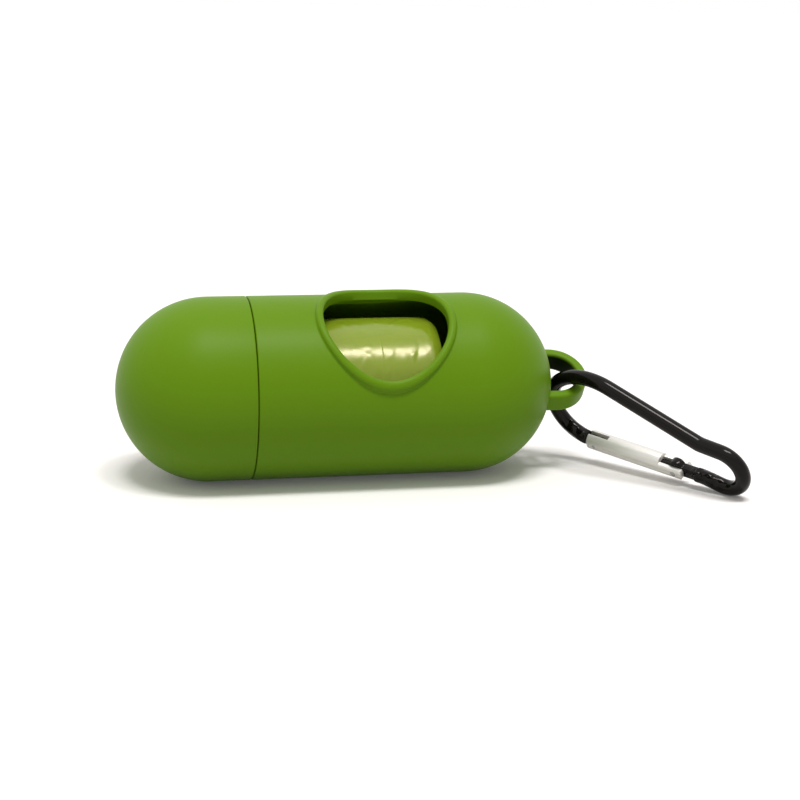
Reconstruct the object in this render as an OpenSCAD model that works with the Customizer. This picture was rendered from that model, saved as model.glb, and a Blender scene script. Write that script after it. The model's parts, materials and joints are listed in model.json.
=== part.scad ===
// Capsule dispenser for a roll of dog waste bags, with a clip carabiner.
// Lying on its belly, capsule along X, loop end at +X, window towards -Y and up.
// The origin is on the floor under the middle of the capsule. Millimetres.

/* [Capsule] */
// Outer diameter of the capsule
body_d = 38; // [34:0.5:44]
// Distance between the centres of the two end domes
straight_len = 53.5; // [50:0.5:64]
// Length of the screw cap, from its end to the seam
cap_len = 27; // [25:0.5:31]
// Wall thickness of the housing and of the cap's dome
wall = 1.4; // [1.3:0.1:1.8]
// Gap between the cap's rim and the housing at the seam
seam_gap = 0.16; // [0.1:0.01:0.4]
// Bevel on both edges of the seam
seam_bevel = 0.25; // [0.1:0.05:0.5]

/* [Screw neck] */
// Length of the neck that enters the cap
neck_len = 7.4; // [6:0.1:7.6]
// Wall thickness of the neck
neck_wall = 1.1; // [0.9:0.05:1.3]
// Wall thickness of the cap around the neck
rim_wall = 1.1; // [1:0.05:1.2]
// Radial room between neck and cap, which the screw thread fills
thread_room = 0.5; // [0.4:0.05:0.7]
// Thickness of the shoulder ring that joins the neck to the housing
shoulder_t = 1.6; // [1:0.1:2.5]
// Gap between the end of the neck and the step in the cap
neck_end_gap = 0.3; // [0.2:0.05:0.6]

/* [Dispensing window] */
// Diameter of the hole in the wall
window_d = 26; // [22:0.5:28]
// Place of the window along the capsule, from the middle
window_x = 8.1; // [6:0.1:9]
// Angle of the window's axis above the horizontal
window_tilt = 57; // [50:1:90]
// Width of the rounded lip around the hole
lip_w = 1.5; // [1.2:0.1:1.8]
// Height of the lip above the wall
lip_h = 0.9; // [0.6:0.05:1.1]
// How far the lip rounds over the edge of the hole
lip_over = 0.2; // [0.1:0.05:0.3]

/* [Carrying loop] */
// Radius of the loop's hole
loop_hole_r = 5.1; // [4.8:0.1:5.6]
// Thickness of the loop's band
loop_t = 2.2; // [1.8:0.1:2.4]
// Width of the band, along the axis of the hole
loop_w = 4.6; // [3.8:0.1:4.8]
// How far the loop stands out from the dome
loop_reach = 8.3; // [8.2:0.1:9]
// Rounding of the band's edges
loop_round = 0.6; // [0.3:0.05:0.8]

/* [Bag roll] */
// Room between a full roll and the neck around it
roll_room = 1.1; // [0.6:0.05:3]
// Length of the roll, the width of a folded bag
roll_len = 53.5; // [48:0.5:60]
// Outer diameter of the card core
core_d = 13; // [11:0.5:15]
// Wall thickness of the card core
core_wall = 1; // [0.6:0.1:1.5]
// Gap between neighbouring turns
turn_gap = 0.04; // [0.02:0.01:0.08]
// Gap between the core and the innermost bag
core_gap = 0.08; // [0.05:0.01:0.15]
// Gap that the roll keeps to what carries it
seat_gap = 0.3; // [0.25:0.05:0.4]

/* [Carabiner frame] */
// Thickness of the frame's wire
wire_d = 3.2; // [2.8:0.1:3.4]
// Radius of the wide bow on the gate's side
bow_r = 8.5; // [8:0.1:9]
// Radius of the wide bow on the spine's side
back_r = 13.5; // [12:0.5:15]
// Angle on the bow at which the larger radius begins
back_from = 131; // [125:1:140]
// Slope of the spine towards the gate
spine_slope = 21; // [19:0.5:22]
// Distance from the bow's centre to the bend in the spine
bend_u = 29; // [28:0.2:30]
// Radius of the narrow eye, at the middle of the wire
eye_r = 4.9; // [4.6:0.1:5.2]
// Distance from the bow's centre to the eye's centre
eye_u = 33.5; // [33:0.1:34.5]
// Distance of the eye's centre from the bow's centre line
eye_v = -4.4; // [-4.8:0.1:-4]
// Distance from the bow's centre to the bend on the gate's side
heel_u = 28.5; // [28:0.1:29]
// Radius of the two soft bends beside the eye
bend_r = 5; // [3:0.5:6]

/* [Carabiner gate] */
// Diameter of the gate's rod
gate_d = 4.2; // [3.6:0.1:4.4]
// Angle on the bow at which the wire ends in the nose
nose_at = 265; // [262:1:270]
// Place of the pivot along the carabiner
pivot_u = 22.1; // [21.5:0.1:22.6]
// Length of tongue that shows between the gate and the wire's shoulder
tongue_len = 2.2; // [0.3:0.1:2.4]
// Rounding of the wire's two ends
end_round = 0.8; // [0.4:0.1:1]
// Gap between the gate's ends and the frame
gate_gap = 0.22; // [0.15:0.01:0.35]
// Diameter of the rivet
rivet_d = 1.2; // [1:0.05:1.3]
// Diameter of the latch pin
latch_d = 0.9; // [0.7:0.05:1]
// Distance from the nose to the latch pin
latch_in = 2.2; // [2:0.1:2.6]
// Thickness of the hooked tongue at the nose
nose_tongue_t = 0.9; // [0.8:0.05:1.2]
// Thickness of the tongue at the pivot
pivot_tongue_t = 1.7; // [1.5:0.05:1.8]
// Gap on each side of a tongue in its slot
slot_gap = 0.1; // [0.08:0.01:0.2]
// Radius of the round cam on the pivot tongue
cam_r = 1.7; // [1.6:0.05:1.8]
// Distance from the pivot to the cam's centre
cam_off = 0.6; // [0.4:0.05:0.7]
// Diameter of the spring plunger
plunger_d = 1.7; // [1.5:0.05:1.8]
// Length of the plunger
plunger_len = 3.4; // [3:0.1:4]
// Radial clearance of the plunger and of the pivot
run_gap = 0.08; // [0.05:0.01:0.1]
// Gap between the plunger's tip and the cam
cam_gap = 0.1; // [0.08:0.01:0.15]
// Wire thickness of the gate's spring
spring_wire = 0.25; // [0.2:0.01:0.3]
// Length of the gate's spring
spring_len = 8; // [7:0.1:9]
// Turns of the gate's spring
spring_turns = 11; // [8:1:12]

/* [Lie of the carabiner] */
// Where the wire crosses the loop, beyond the middle of the loop's round end
hook_x = 1.3; // [1.25:0.05:1.4]
// How far the wire crosses in front of the capsule's axis
hook_front = 0.5; // [0.2:0.1:0.8]
// How far the wire crosses below the capsule's axis
hook_drop = 0.4; // [0.2:0.1:0.8]
// Angle on the bow of the point that lies in the loop
hook_at = 134; // [130:1:138]
// Turn of the carabiner towards the front
clip_yaw = 54; // [50:1:58]
// Lean of the carabiner's plane
clip_roll = 29.5; // [27:0.5:32]

/* [Hidden] */
$fn = 96;
eps = 0.01;
green = [0.36, 0.49, 0.11];
film = [0.58, 0.66, 0.22];
card = [0.66, 0.52, 0.36];
black = [0.05, 0.05, 0.055];
silver = [0.78, 0.77, 0.74];
steel = [0.55, 0.55, 0.56];

// Capsule
body_r = body_d / 2;
axis_z = body_r;
dome_x = straight_len / 2;
bay_r = body_r - wall;
seam_x = cap_len - dome_x - body_r;
// Neck
rim_bore_r = body_r - rim_wall;
neck_r = rim_bore_r - thread_room;
neck_bore_r = neck_r - neck_wall;
neck_x = seam_x - neck_len;
step_x = neck_x - neck_end_gap;
// Window
window_r = window_d / 2;
lip_r = lip_w / 2;
lip_ring_r = window_r - lip_over + lip_r;
lip_rise = lip_h - lip_r;
lip_rings = 60;
lip_sides = 10;
// Loop
loop_out_r = loop_hole_r + loop_t;
loop_x = dome_x + body_r + loop_reach - loop_out_r;
loop_root_x = dome_x + sqrt(pow(body_r - wall / 2, 2) - pow(loop_out_r, 2));
// Roll
bag_count = 15;
roll_r = neck_bore_r - roll_room;
core_r = core_d / 2;
roll_drop = roll_room - seat_gap;
roll_z = axis_z - roll_drop;
roll_start_x = -dome_x - sqrt(pow(bay_r - seat_gap, 2) - pow(roll_r + roll_drop, 2));
turn_pitch = (roll_r - core_r - core_gap + turn_gap) / (bag_count + 1);
turn_t = turn_pitch - turn_gap;
// Angle left open between a bag and the next one out
perforation = 0.6;
// Carabiner, in its own plane: u from the bow to the eye, v from the gate to the spine
wire_r = wire_d / 2;
gate_r = gate_d / 2;
gate_v = -bow_r;
back_c = [(bow_r - back_r) * cos(back_from), (bow_r - back_r) * sin(back_from)];
back_to = 90 - spine_slope;
spine_from = back_c + back_r * [cos(back_to), sin(back_to)];
spine_to = [bend_u, spine_from[1] - (bend_u - spine_from[0]) * tan(spine_slope)];
eye_c = [eye_u, eye_v];
heel = [heel_u, gate_v];
eye_from = touch_angle(spine_to, -1);
eye_to = touch_angle(heel, 1);
top_turn = eye_from - 90 + spine_slope;
heel_turn = -90 - eye_to;
shoulder_u = pivot_u + gate_r + tongue_len;
end_turn = asin(end_round / bow_r);
wire_sides = 20;
wire_path = concat(
    [for (a = [60, 30]) let (at = nose_at - end_turn * (1 - sin(a)))
        [bow_r * cos(at), bow_r * sin(at), at, wire_r - end_round * (1 - cos(a))]],
    arc_path([0, 0], bow_r, nose_at - end_turn, back_from, 22, 0),
    arc_path(back_c, back_r, back_from - 5, back_to, 10, 0),
    bend_path(spine_to, -spine_slope, top_turn, 4),
    arc_path(eye_c, eye_r, eye_from, eye_to, 28, 0),
    bend_path(heel, eye_to - 90, heel_turn, 3),
    [for (a = [0, 30, 60])
        [shoulder_u + end_round * (1 - sin(a)), gate_v, -90, wire_r - end_round * (1 - cos(a))]]);
wire_points = [for (p = wire_path, j = [0 : wire_sides - 1])
    let (b = 360 * j / wire_sides, out = p[0] + p[3] * cos(b) * cos(p[2]))
    [out, p[1] + p[3] * cos(b) * sin(p[2]), -p[3] * sin(b)]];
nose_u = (bow_r - wire_r) * cos(nose_at);
gate_from_u = nose_u + gate_gap;
latch_u = nose_u + latch_in;
// How far the nose's tongue runs on past the latch pin, and the slot past the tongue
nose_tip_u = latch_u + 2;
nose_slot_end = nose_tip_u + 1.2;
nose_slot_t = nose_tongue_t + 2 * slot_gap;
pivot_slot_t = pivot_tongue_t + 2 * slot_gap;
pivot_slot_u = pivot_u - 3.8;
// How far the tongues are rooted in the wire, and how far they reach below and above its middle
tongue_root = 0.8;
tongue_low = 1.1;
tongue_high = 1.3;
// Height above the gate's middle to which its pivot end is cut back
cut_back_v = 1.1;
rivet_r = rivet_d / 2;
latch_r = latch_d / 2;
pin_fit = 0.02;
latch_play = 0.12;
// Plunger and spring
plunger_r = plunger_d / 2;
bore_r = plunger_r + run_gap;
plunger_tip_u = pivot_u - cam_r - cam_gap;
plunger_end_u = plunger_tip_u - plunger_len;
spring_end_u = plunger_end_u - spring_len - 2 * cam_gap;
spring_r = bore_r - run_gap - spring_wire / 2 - 0.04;
// The carabiner hangs in the loop and its eye lies on the floor, which sets its pitch
hook_uv = bow_r * [cos(hook_at), sin(hook_at)];
hook_z = axis_z - hook_drop;
clip_pitch = floor_pitch(0, 6);
hook_off = on_plane(hook_uv[0], hook_uv[1]);
clip_pos = [loop_x + hook_x, -hook_front, hook_z] - hook_off;

// Angle at which a line from point p touches the eye's circle
function touch_angle(p, side) =
    atan2(p[1] - eye_c[1], p[0] - eye_c[0]) + side * acos(eye_r / norm(p - eye_c));

// Points of an arc, each with the angle of the wire's outer side and the wire's radius
function arc_path(c, r, from, to, steps, turned) = [for (i = [0 : steps])
    let (a = from + (to - from) * i / steps)
    [c[0] + r * cos(a), c[1] + r * sin(a), a + turned, wire_r]];

// A point at a distance from p, in a direction of the carabiner's plane
function step_to(p, dir, d) = p + d * [cos(dir), sin(dir)];

// A soft bend to the left at a corner that is reached in direction dir
function bend_path(corner, dir, turn, steps) =
    arc_path(step_to(step_to(corner, dir, -bend_r * tan(turn / 2)), dir + 90, bend_r),
             bend_r, dir - 90, dir - 90 + turn, steps, 180);

// Pitch at which the eye's lowest side meets the floor, closer at each step
function floor_pitch(e, steps) = steps == 0 ? e :
    floor_pitch(asin(((hook_uv[1] - eye_v) * cos(clip_roll) * cos(e)
        + eye_r * sqrt(pow(sin(e), 2) + pow(cos(clip_roll) * cos(e), 2))
        - (hook_z - wire_r)) / (eye_u - hook_uv[0])), steps - 1);

// Where a point of the carabiner's plane lies from the bow's centre, in the part's axes
function on_plane(u, v) =
    let (cy = cos(-clip_yaw), sy = sin(-clip_yaw), ce = cos(clip_pitch), se = sin(clip_pitch),
         cr = cos(clip_roll), sr = sin(clip_roll))
    [u * ce * cy + v * (-cr * se * cy + sr * sy),
     u * ce * sy + v * (-cr * se * sy - sr * cy),
     u * se + v * cr * ce];

// Triangles of a closed tube: rings of points, the last joined to the first
function loop_faces(rings, sides) = [for (i = [0 : rings - 1], j = [0 : sides - 1], half = [0, 1])
    let (a = i * sides + j, b = i * sides + (j + 1) % sides,
         c = ((i + 1) % rings) * sides + j, d = ((i + 1) % rings) * sides + (j + 1) % sides)
    half == 0 ? [a, b, d] : [a, d, c]];

// Triangles of an open tube with flat ends
function tube_faces(rings, sides) = concat(
    [for (i = [0 : rings - 2], j = [0 : sides - 1], half = [0, 1])
        let (a = i * sides + j, b = i * sides + (j + 1) % sides, c = a + sides, d = b + sides)
        half == 0 ? [a, b, d] : [a, d, c]],
    [[for (j = [sides - 1 : -1 : 0]) j]],
    [[for (j = [0 : sides - 1]) (rings - 1) * sides + j]]);

// A cylinder along the capsule's axis
module along_x(from_x, to_x, r) {
    translate([from_x, 0, axis_z]) rotate([0, 90, 0]) cylinder(r = r, h = to_x - from_x);
}

// The half of a ball that faces away from the capsule's middle
module end_ball(x, r) {
    side = sign(x);
    intersection() {
        translate([x, 0, axis_z]) sphere(r);
        translate([x + side * r, 0, axis_z]) cube([2 * r, 3 * r, 3 * r], center = true);
    }
}

// Bevel cut round an outer edge at x, on the side that dir points away from
module edge_bevel(x, dir) {
    translate([x, 0, axis_z]) rotate([0, dir * 90, 0]) rotate_extrude()
        polygon([[body_r - seam_bevel, 0], [body_r + eps, seam_bevel + eps],
                 [body_r + 1, seam_bevel + eps], [body_r + 1, -eps],
                 [body_r - seam_bevel, -eps]]);
}

// The window's frame: its axis is this frame's z, the capsule's axis its x
module window_frame() {
    translate([0, 0, axis_z]) rotate([90 - window_tilt, 0, 0]) children();
}

// The lip is a bead that follows the edge of the hole over the round wall
module lip() {
    points = [for (i = [0 : lip_rings - 1], j = [0 : lip_sides - 1])
        let (a = 360 * i / lip_rings, b = 360 * j / lip_sides,
             across = lip_ring_r * sin(a), up = sqrt(pow(body_r, 2) - pow(across, 2)),
             n = [0, across, up] / body_r, side = [cos(a), sin(a) * n[2], -sin(a) * n[1]],
             out = side / norm(side))
        [window_x + lip_ring_r * cos(a), across, up]
            + n * (lip_rise + lip_r * sin(b)) + out * lip_r * cos(b)];
    window_frame() polyhedron(points, loop_faces(lip_rings, lip_sides), convexity = 6);
}

// Section of the loop's band, thickness along x and width along y
module band_section() {
    translate([loop_hole_r + loop_round, -loop_w / 2])
        square([loop_t - 2 * loop_round, loop_w]);
    translate([loop_hole_r, loop_round - loop_w / 2])
        square([loop_t, loop_w - 2 * loop_round]);
    for (x = [loop_hole_r + loop_round, loop_out_r - loop_round], s = [-1, 1])
        translate([x, s * (loop_w / 2 - loop_round)]) circle(loop_round);
}

// The loop is moulded on the dome, and its hole has the window's direction
module loop() {
    window_frame() translate([loop_x, 0, 0]) {
        rotate([0, 0, -90]) rotate_extrude(angle = 180) band_section();
        for (m = [0, 1]) mirror([0, m, 0]) rotate([90, 0, -90])
            linear_extrude(loop_x - loop_root_x) band_section();
    }
}

module housing() {
    color(green) difference() {
        union() {
            along_x(seam_x + seam_gap / 2, dome_x, body_r);
            end_ball(dome_x, body_r);
            along_x(neck_x, seam_x + shoulder_t, neck_r);
            lip();
            loop();
        }
        along_x(seam_x + shoulder_t, dome_x, bay_r);
        end_ball(dome_x, bay_r);
        along_x(neck_x - 1, seam_x + shoulder_t + 1, neck_bore_r);
        window_frame() translate([window_x, 0, 0]) cylinder(r = window_r, h = body_r + 0.1);
        edge_bevel(seam_x + seam_gap / 2, -1);
    }
}

module cap() {
    color(green) difference() {
        union() {
            end_ball(-dome_x, body_r);
            along_x(-dome_x, seam_x - seam_gap / 2, body_r);
        }
        end_ball(-dome_x, bay_r);
        along_x(-dome_x, step_x + 1, bay_r);
        along_x(step_x, seam_x, rim_bore_r);
        edge_bevel(seam_x - seam_gap / 2, 1);
    }
}

// A ring along the roll's axis, turned to start at an angle
module roll_ring(r, t, from, span) {
    rotate([0, 0, from]) rotate_extrude(angle = span) translate([r, 0]) square([t, roll_len]);
}

module roll_core() {
    color(card) translate([roll_start_x, 0, roll_z]) rotate([0, 90, 0]) difference() {
        cylinder(r = core_r, h = roll_len);
        translate([0, 0, -1]) cylinder(r = core_r - core_wall, h = roll_len + 2);
    }
}

// Bag 1 is the outermost. Each is one turn of a spiral drawn from two centres,
// so that it ends where the next one out begins.
module bag(number) {
    r = core_r + core_gap + (bag_count - number) * turn_pitch;
    color(film) translate([roll_start_x, 0, roll_z]) rotate([0, 90, 0]) union() {
        roll_ring(r, turn_t, 0, 180);
        translate([turn_pitch / 2, 0, 0])
            roll_ring(r + turn_pitch / 2, turn_t, 180, 180 - perforation);
    }
}

// The carabiner's plane, with its bow's centre at the origin
module clip_plane() {
    translate(clip_pos) rotate([90 + clip_roll, -clip_pitch, -clip_yaw]) children();
}

// Plate in the carabiner's plane, centred on its thickness
module plate(t) {
    translate([0, 0, -t / 2]) linear_extrude(t) children();
}

module carabiner_frame() {
    color(black) clip_plane() difference() {
        union() {
            polyhedron(wire_points, tube_faces(len(wire_path), wire_sides), convexity = 10);
            nose_tongue();
            pivot_tongue();
        }
        translate([pivot_u, gate_v, -gate_r]) cylinder(r = rivet_r + run_gap, h = gate_d);
    }
}

// The tongue's notch is open towards the spine, so that the gate swings in
module nose_tongue() {
    plate(nose_tongue_t) difference() {
        union() {
            translate([nose_u - tongue_root, gate_v - tongue_low])
                square([nose_tip_u - tongue_low - nose_u + tongue_root, 2 * tongue_low]);
            translate([nose_tip_u - tongue_low, gate_v]) circle(tongue_low);
        }
        translate([latch_u, gate_v]) circle(latch_r + latch_play);
        translate([latch_u - latch_r - latch_play, gate_v])
            square([2 * (latch_r + latch_play), gate_d]);
    }
}

// The round head is set off from the pivot, so it pushes the plunger as the gate opens
module pivot_tongue() {
    plate(pivot_tongue_t) {
        translate([pivot_u, gate_v + cam_off]) circle(cam_r);
        translate([pivot_u, gate_v - tongue_low])
            square([shoulder_u - pivot_u + tongue_root, tongue_low + tongue_high]);
    }
}

module carabiner_gate() {
    color(silver) clip_plane() translate([0, gate_v, 0]) difference() {
        union() {
            translate([gate_from_u, 0, 0]) rotate([0, 90, 0])
                cylinder(r = gate_r, h = pivot_u - gate_from_u);
            intersection() {
                translate([pivot_u - eps, 0, 0]) rotate([0, 90, 0])
                    cylinder(r = gate_r, h = gate_d);
                translate([pivot_u, 0, -gate_r]) cylinder(r = gate_r, h = gate_d);
            }
        }
        translate([gate_from_u - 1, -gate_d, -nose_slot_t / 2])
            cube([nose_slot_end - gate_from_u + 1, 2 * gate_d, nose_slot_t]);
        translate([pivot_slot_u, -gate_d, -pivot_slot_t / 2])
            cube([gate_d * 3, 2 * gate_d, pivot_slot_t]);
        translate([pivot_slot_u, cut_back_v, -gate_d]) cube([gate_d * 3, gate_d, 2 * gate_d]);
        translate([spring_end_u, 0, 0]) rotate([0, 90, 0])
            cylinder(r = bore_r, h = pivot_slot_u - spring_end_u + 1);
        translate([pivot_u, 0, -gate_d]) cylinder(r = rivet_r + pin_fit, h = 2 * gate_d);
        translate([latch_u, 0, -gate_d]) cylinder(r = latch_r + pin_fit, h = 2 * gate_d);
    }
}

// A pin across the gate with slightly rounded ends
module cross_pin(u, r, half) {
    clip_plane() translate([u, gate_v, 0]) intersection() {
        translate([0, 0, -half]) cylinder(r = r, h = 2 * half);
        sphere(sqrt(pow(half, 2) + pow(r, 2) / 3));
    }
}

module gate_rivet() {
    color(steel) cross_pin(pivot_u, rivet_r, gate_r);
}

module latch_pin() {
    color(steel) cross_pin(latch_u, latch_r, gate_r - 0.05);
}

module gate_plunger() {
    color(steel) clip_plane() translate([plunger_end_u, gate_v, 0]) rotate([0, 90, 0])
        cylinder(r = plunger_r, h = plunger_len);
}

// An open coil that pushes the plunger against the cam
module gate_spring() {
    sides = 6;
    per_turn = 10;
    rings = spring_turns * per_turn + 1;
    rise = (spring_len - spring_wire) / (rings - 1);
    points = [for (i = [0 : rings - 1], j = [0 : sides - 1])
        let (a = 360 * i / per_turn, b = 360 * j / sides, r = spring_r + spring_wire / 2 * cos(b))
        [r * cos(a), r * sin(a), spring_wire / 2 + i * rise + spring_wire / 2 * sin(b)]];
    color(steel) clip_plane() translate([spring_end_u + cam_gap, gate_v, 0]) rotate([0, 90, 0])
        polyhedron(points, tube_faces(rings, sides), convexity = 10);
}

housing();
cap();
roll_core();
bag(1);  // bag_01
bag(2);  // bag_02
bag(3);  // bag_03
bag(4);  // bag_04
bag(5);  // bag_05
bag(6);  // bag_06
bag(7);  // bag_07
bag(8);  // bag_08
bag(9);  // bag_09
bag(10);  // bag_10
bag(11);  // bag_11
bag(12);  // bag_12
bag(13);  // bag_13
bag(14);  // bag_14
bag(15);  // bag_15
carabiner_frame();
carabiner_gate();
gate_rivet();
latch_pin();
gate_plunger();
gate_spring();
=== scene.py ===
import json
from math import acos, asin, atan2, cos, pi, radians, sin, sqrt, tan

import bmesh
import bpy
from mathutils import Matrix, Vector


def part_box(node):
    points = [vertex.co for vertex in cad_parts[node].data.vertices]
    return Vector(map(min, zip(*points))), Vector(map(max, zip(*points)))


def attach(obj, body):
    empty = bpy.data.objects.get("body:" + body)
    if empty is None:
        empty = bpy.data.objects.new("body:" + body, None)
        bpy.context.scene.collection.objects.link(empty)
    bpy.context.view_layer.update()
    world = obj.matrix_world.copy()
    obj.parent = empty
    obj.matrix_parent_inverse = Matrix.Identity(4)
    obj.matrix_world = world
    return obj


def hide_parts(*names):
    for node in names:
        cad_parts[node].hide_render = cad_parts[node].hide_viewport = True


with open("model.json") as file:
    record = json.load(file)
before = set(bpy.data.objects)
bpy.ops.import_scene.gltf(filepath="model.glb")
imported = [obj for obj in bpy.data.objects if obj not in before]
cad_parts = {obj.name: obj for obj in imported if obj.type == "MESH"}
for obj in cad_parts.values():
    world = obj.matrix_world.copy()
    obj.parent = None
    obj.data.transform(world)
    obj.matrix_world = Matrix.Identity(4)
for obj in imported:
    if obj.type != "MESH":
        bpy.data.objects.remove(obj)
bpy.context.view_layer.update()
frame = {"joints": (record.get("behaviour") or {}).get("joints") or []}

# The photographer stands a little to the left of the capsule and looks down at it
# from the height of a hand, close enough for the far side to shrink a little.
mm = 0.001
scene = bpy.context.scene
scene.view_settings.view_transform = "Standard"
camera_left, camera_height, camera_lean = radians(12.3), radians(13.5), radians(1.19)
camera_distance = 350.5 * mm
sensor = 36.0
lens = 74.68
look_at = Vector((13.54, 0, 15.45)) * mm
backward = Vector((
    -sin(camera_left) * cos(camera_height),
    -cos(camera_left) * cos(camera_height),
    sin(camera_height)))
level = (-backward).cross(Vector((0, 0, 1))).normalized()
upright = level.cross(-backward)
right = level * cos(camera_lean) + upright * sin(camera_lean)
up = upright * cos(camera_lean) - level * sin(camera_lean)
camera = bpy.data.objects.new("camera", bpy.data.cameras.new("camera"))
camera.data.sensor_width = sensor
camera.data.lens = lens
camera.data.clip_start = 1 * mm
turn = Matrix((right, up, backward)).transposed().to_4x4()
camera.matrix_world = Matrix.Translation(look_at + backward * camera_distance) @ turn
scene.collection.objects.link(camera)
scene.camera = camera

# A pale paper sweep lies under everything and takes the soft shadows. To the camera,
# and in gloss, it and the room are the white of a studio.
floor_size = 60.0
paper_white, paper_shade = (1.0, 0.965, 0.95, 1), (0.97, 0.935, 0.92, 1)
paper_bounce = (0.62, 0.62, 0.61, 1)
paper_lift = 0.06
room_grey = (1.0, 0.98, 0.94, 1)
room_strength = 0.3


def node(tree, kind, inputs=None, **settings):
    made = tree.nodes.new(kind)
    for key, value in settings.items():
        setattr(made, key, value)
    for key, value in (inputs or {}).items():
        socket = made.inputs[key]
        if isinstance(value, bpy.types.NodeSocket):
            tree.links.new(value, socket)
        else:
            socket.default_value = value
    return made


def new_material(name):
    made = bpy.data.materials.new(name)
    made.use_nodes = True
    made.node_tree.nodes.clear()
    return made, made.node_tree


def seen_rays(tree):
    rays = node(tree, "ShaderNodeLightPath")
    gloss = node(tree, "ShaderNodeMath", {0: rays.outputs["Is Camera Ray"],
                 1: rays.outputs["Is Glossy Ray"]}, operation="MAXIMUM")
    return node(tree, "ShaderNodeMath", {0: gloss.outputs[0],
                1: rays.outputs["Is Transmission Ray"]}, operation="MAXIMUM")


paper, tree = new_material("paper sweep")
grain = node(tree, "ShaderNodeTexNoise", {"Scale": 40.0, "Detail": 4.0})
# Sockets 6 and 7 of a colour mix are its two colours.
tint = node(tree, "ShaderNodeMix", {"Factor": grain.outputs[0], 6: paper_shade,
            7: paper_white}, data_type="RGBA")
matt = node(tree, "ShaderNodeBsdfDiffuse", {"Color": paper_bounce})
bright = node(tree, "ShaderNodeBsdfDiffuse", {"Color": tint.outputs[2]})
glow = node(tree, "ShaderNodeEmission", {"Color": (1, 1, 1, 1), "Strength": paper_lift})
lifted = node(tree, "ShaderNodeAddShader", {0: bright.outputs[0], 1: glow.outputs[0]})
choice = node(tree, "ShaderNodeMixShader", {0: seen_rays(tree).outputs[0],
              1: matt.outputs[0], 2: lifted.outputs[0]})
node(tree, "ShaderNodeOutputMaterial", {0: choice.outputs[0]})
floor_mesh = bpy.data.meshes.new("floor")
half_floor = floor_size / 2
floor_mesh.from_pydata([(-half_floor, -half_floor, 0), (half_floor, -half_floor, 0),
                        (half_floor, half_floor, 0), (-half_floor, half_floor, 0)],
                       [], [(0, 1, 2, 3)])
floor_mesh.materials.append(paper)
floor = bpy.data.objects.new("floor", floor_mesh)
scene.collection.objects.link(floor)

room = bpy.data.worlds.new("studio")
room.use_nodes = True
tree = room.node_tree
tree.nodes.clear()
ambient = node(tree, "ShaderNodeBackground", {"Color": room_grey, "Strength": room_strength})
white = node(tree, "ShaderNodeBackground", {"Color": (1, 1, 1, 1), "Strength": 1.0})
shown = node(tree, "ShaderNodeMixShader", {0: seen_rays(tree).outputs[0],
             1: ambient.outputs[0], 2: white.outputs[0]})
node(tree, "ShaderNodeOutputWorld", {0: shown.outputs[0]})
scene.world = room

# Three lamps hang high at the front: a wide one, and two small ones that leave the sharp
# highlights on the wire and the film. A pale ceiling to the left lights the rest.


def lamp(name, left, height, width, energy):
    light = bpy.data.lights.new(name, "SUN")
    light.angle = radians(width)
    light.energy = energy
    left, height = radians(left), radians(height)
    to_lamp = Vector((-sin(left) * cos(height), -cos(left) * cos(height), sin(height)))
    holder = bpy.data.objects.new(name, light)
    holder.rotation_euler = to_lamp.to_track_quat("Z", "Y").to_euler()
    scene.collection.objects.link(holder)


lamp("key lamp", left=2, height=73, width=30, energy=0.1)
lamp("key lamp left", left=14, height=73, width=15, energy=1.3)
lamp("key lamp right", left=-31, height=71, width=10, energy=0.8)
lamp("ceiling", left=75, height=70, width=110, energy=0.65)

# The housing is one moulding of satin green plastic: a tube with a round end, the neck
# that the cap screws on, a window with a rounded lip, and the carrying loop.
cap_low, cap_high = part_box("cap")
housing_low, housing_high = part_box("housing")
body_r = (cap_high.z - cap_low.z) / 2
axis_z = body_r
dome_x = -cap_low.x - body_r
seam_gap = 0.16 * mm
seam_x = cap_high.x + seam_gap / 2
wall = 1.4 * mm
bay_r = body_r - wall
neck_x = housing_low.x
rim_bore_r = body_r - 1.1 * mm
neck_r = rim_bore_r - 0.5 * mm
neck_bore_r = neck_r - 1.1 * mm
shoulder = 1.6 * mm
seam_bevel, neck_round = 0.3 * mm, 0.3 * mm
rounds = 224
sharp_edge = radians(32)
weld = 0.0002 * mm


def arc(centre_x, centre_r, r, start, stop, steps):
    angles = [start + (stop - start) * i / steps for i in range(steps + 1)]
    return [(centre_x + r * cos(a), centre_r + r * sin(a)) for a in angles]


def loft(name, rings, path_closed=False, ends=False):
    count = len(rings[0])
    points = [point for ring in rings for point in ring]
    faces = []
    for i in range(len(rings) if path_closed else len(rings) - 1):
        ahead = (i + 1) % len(rings)
        for j in range(count):
            side = (j + 1) % count
            faces.append((i * count + j, i * count + side,
                          ahead * count + side, ahead * count + j))
    if ends:
        faces.append(tuple(range(count - 1, -1, -1)))
        faces.append(tuple((len(rings) - 1) * count + j for j in range(count)))
    mesh = bpy.data.meshes.new(name)
    mesh.from_pydata(points, [], faces)
    tidy(mesh)
    return mesh


def tidy(mesh):
    work = bmesh.new()
    work.from_mesh(mesh)
    bmesh.ops.remove_doubles(work, verts=work.verts, dist=weld)
    bmesh.ops.recalc_face_normals(work, faces=work.faces)
    work.to_mesh(mesh)
    work.free()
    mesh.shade_smooth()
    mesh.set_sharp_from_angle(angle=sharp_edge)


def coat(thing, material):
    thing.data.materials.clear()
    thing.data.materials.append(material)


def place(name, mesh, material=None):
    made = bpy.data.objects.new(name, mesh)
    scene.collection.objects.link(made)
    if material:
        coat(made, material)
    return made


def turned(name, outline):
    rings = []
    for i in range(rounds):
        a = 2 * pi * i / rounds
        rings.append([(x, r * sin(a), axis_z + r * cos(a)) for x, r in outline])
    return loft(name, rings, path_closed=True)


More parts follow.
